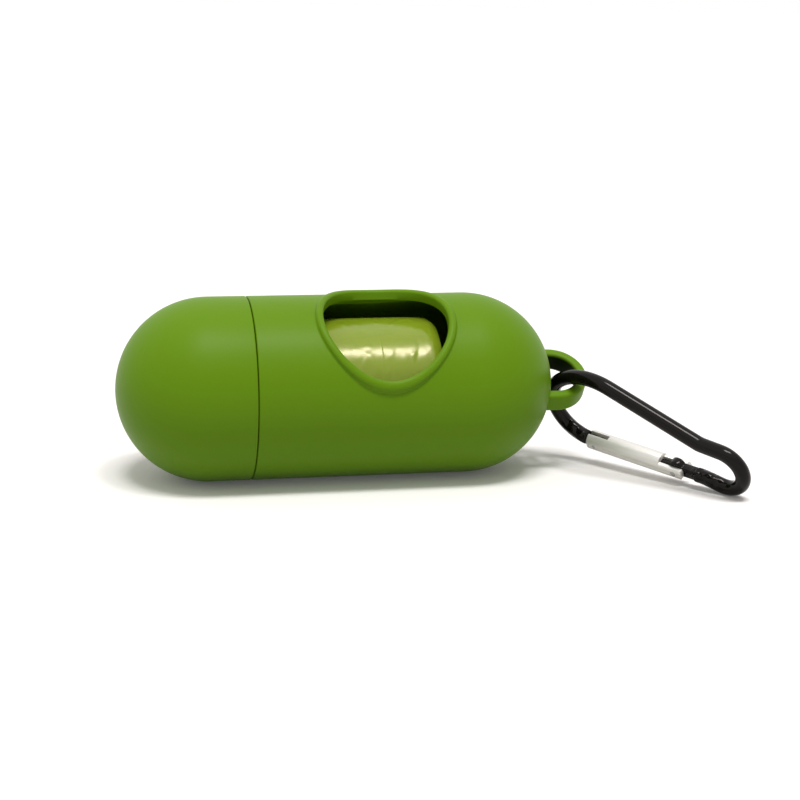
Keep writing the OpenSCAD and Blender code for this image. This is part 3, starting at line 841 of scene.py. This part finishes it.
line_dark, line_bright = (0.58, 0.56, 0.51, 1), (0.93, 0.91, 0.86, 1)
aluminium, tree = new_material("bare aluminium")
where = node(tree, "ShaderNodeTexCoord")
to_clip = clip_plane.to_3x3().transposed().to_euler()
aligned = node(tree, "ShaderNodeMapping", {"Vector": where.outputs["Object"],
               "Rotation": to_clip})
drawn = node(tree, "ShaderNodeMapping", {"Vector": aligned.outputs[0],
             "Scale": (25, 1100, 1100)})
lines = node(tree, "ShaderNodeTexNoise", {"Vector": drawn.outputs[0], "Scale": 1.0,
             "Detail": 4.0, "Roughness": 0.65})
tint = node(tree, "ShaderNodeMix", {"Factor": lines.outputs[0], 6: line_dark,
            7: line_bright}, data_type="RGBA")
gloss = node(tree, "ShaderNodeMapRange", {"Value": lines.outputs[0], "To Min": 0.36,
             "To Max": 0.46})
relief = node(tree, "ShaderNodeBump", {"Height": lines.outputs[0], "Strength": 0.15,
              "Distance": 0.03 * mm})
shader = node(tree, "ShaderNodeBsdfPrincipled", {"Base Color": tint.outputs[2],
              "Metallic": 0.45, "Roughness": gloss.outputs[0], "Normal": relief.outputs[0]})
node(tree, "ShaderNodeOutputMaterial", {0: shader.outputs[0]})

gate = rod("gate", [(gate_from, gate_r - chamfer), (gate_from + chamfer, gate_r),
                    (pivot_u + gate_r, gate_r)])
trim_outline = [(pivot_u, gate_v - 3 * gate_r), (pivot_u + 3 * gate_r, gate_v - 3 * gate_r),
                (pivot_u + 3 * gate_r, gate_v + 3 * gate_r), (pivot_u, gate_v + 3 * gate_r)]
trim_outline += reversed(bow((pivot_u, gate_v), gate_r, -pi / 2, pi / 2, 24))
slot_gap, pin_gap, back_cut = 0.1 * mm, 0.02 * mm, 1.1 * mm
slot_half, head_half = tongue_t / 2 + slot_gap, head_t / 2 + slot_gap
slot_to = latch_u + 3.2 * mm
head_from = pivot_u - 3.8 * mm
plunger_tip = pivot_u - cam_r - 0.1 * mm
plunger_len, spring_room = 3.4 * mm, 8.2 * mm
spring_end = plunger_tip - plunger_len - spring_room
bore_r = 0.93 * mm
cut(gate,
    plate("end_trim", trim_outline, 4 * gate_r, 0),
    block("nose_slot", (gate_from - gate_r, gate_v - 2 * gate_r, -slot_half),
          (slot_to, gate_v + 2 * gate_r, slot_half)),
    block("head_slot", (head_from, gate_v - 2 * gate_r, -head_half),
          (pivot_u + 3 * gate_r, gate_v + 2 * gate_r, head_half)),
    block("cut_back", (head_from, gate_v + back_cut, -2 * gate_r),
          (pivot_u + 3 * gate_r, gate_v + 2 * gate_r, 2 * gate_r)),
    rod("spring_bore", [(spring_end, bore_r), (head_from + 1 * mm, bore_r)], 40),
    cross_rod("rivet_hole", pivot_u, gate_v, rivet_r + pin_gap, 2 * gate_r),
    cross_rod("latch_hole", latch_u, gate_v, latch_r + pin_gap, 2 * gate_r))
soften = gate.modifiers.new("bevel", "BEVEL")
soften.width = 0.07 * mm
soften.segments = 2
soften.angle_limit = radians(38)
bake(gate)
gate.data.shade_smooth()
gate.data.set_sharp_from_angle(angle=sharp_edge)
gate.data.transform(clip_plane)
coat(gate, aluminium)
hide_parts("carabiner_gate")
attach(gate, "gate")

# The rivet that the gate turns on and the latch pin are plain steel wire, pressed through
# the gate, with their ends peened a little round.
steel_dark, steel_light = (0.3, 0.3, 0.3, 1), (0.5, 0.5, 0.49, 1)
steel, tree = new_material("plain steel")
where = node(tree, "ShaderNodeTexCoord")
marks = node(tree, "ShaderNodeTexNoise", {"Vector": where.outputs["Object"],
             "Scale": 1500.0, "Detail": 4.0})
tint = node(tree, "ShaderNodeMix", {"Factor": marks.outputs[0], 6: steel_dark,
            7: steel_light}, data_type="RGBA")
gloss = node(tree, "ShaderNodeMapRange", {"Value": marks.outputs[0], "To Min": 0.25,
             "To Max": 0.4})
shader = node(tree, "ShaderNodeBsdfPrincipled", {"Base Color": tint.outputs[2],
              "Metallic": 1.0, "Roughness": gloss.outputs[0]})
node(tree, "ShaderNodeOutputMaterial", {0: shader.outputs[0]})


def pin(name, u, r, half, sides=40):
    ends = [(r, 0.0), (r * 0.97, 0.04), (r * 0.85, 0.08), (r * 0.55, 0.12), (r * 0.15, 0.14)]
    peen = ends[-1][1]
    rings = []
    for side in (-1, 1):
        steps = [(radius, side * (half - peen * mm + rise * mm)) for radius, rise in ends]
        rings += steps if side == 1 else list(reversed(steps))
    shape = [[(u + r_here * cos(2 * pi * j / sides), gate_v + r_here * sin(2 * pi * j / sides),
               w) for j in range(sides)] for r_here, w in rings]
    made = place(name, loft(name, shape, ends=True), steel)
    made.data.transform(clip_plane)
    return made


latch_half = gate_r - 0.05 * mm
rivet = pin("rivet", pivot_u, rivet_r, gate_r)
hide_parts("gate_rivet")
latch = pin("latch_pin_steel", latch_u, latch_r, latch_half)
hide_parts("latch_pin")
for piece in (rivet, latch):
    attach(piece, "gate")

# A plunger slides in the gate's bore, pushed on to the tongue's round head by a coil of
# spring wire.
plunger_r = 0.85 * mm
edge = 0.12 * mm
plunger = rod("plunger", [(plunger_tip - plunger_len, plunger_r - edge),
                          (plunger_tip - plunger_len + edge, plunger_r),
                          (plunger_tip - edge, plunger_r), (plunger_tip, plunger_r - edge)], 40)
plunger.data.transform(clip_plane)
oil_black, oil_worn = (0.01, 0.01, 0.01, 1), (0.03, 0.028, 0.025, 1)
dark_steel, tree = new_material("oil-blackened steel")
where = node(tree, "ShaderNodeTexCoord")
marks = node(tree, "ShaderNodeTexNoise", {"Vector": where.outputs["Object"],
             "Scale": 1800.0, "Detail": 3.0})
tint = node(tree, "ShaderNodeMix", {"Factor": marks.outputs[0], 6: oil_black,
            7: oil_worn}, data_type="RGBA")
shader = node(tree, "ShaderNodeBsdfPrincipled", {"Base Color": tint.outputs[2],
              "Metallic": 1.0, "Roughness": 0.4})
node(tree, "ShaderNodeOutputMaterial", {0: shader.outputs[0]})
coat(plunger, dark_steel)
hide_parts("gate_plunger")
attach(plunger, "plunger")

spring_tree, given = new_tree("coil spring", Radius=1.0, Wire=0.1, Length=8.0, Turns=11.0,
                              Steps=28)
coil = node(spring_tree, "GeometryNodeCurveSpiral", {
    "Resolution": given.outputs["Steps"], "Rotations": given.outputs["Turns"],
    "Start Radius": given.outputs["Radius"], "End Radius": given.outputs["Radius"],
    "Height": given.outputs["Length"]})
section = node(spring_tree, "GeometryNodeCurvePrimitiveCircle", {
    "Resolution": 10, "Radius": given.outputs["Wire"]})
swept = node(spring_tree, "GeometryNodeCurveToMesh", {0: coil.outputs[0],
             "Profile Curve": section.outputs[0], "Fill Caps": True})
end_tree(spring_tree, swept.outputs[0], steel)
coil_r, coil_wire_r = 0.685 * mm, 0.125 * mm
coil_length, coil_turns, coil_seat = 7.6 * mm, 11.0, 0.38 * mm
spring = grow("gate_spring_coil", spring_tree, Radius=coil_r, Wire=coil_wire_r,
              Length=coil_length, Turns=coil_turns)
coil_start = Matrix.Translation((spring_end + coil_seat, gate_v, 0))
spring.data.transform(clip_plane @ coil_start @ Matrix.Rotation(pi / 2, 4, "Y"))
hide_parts("gate_spring")
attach(spring, "plunger")
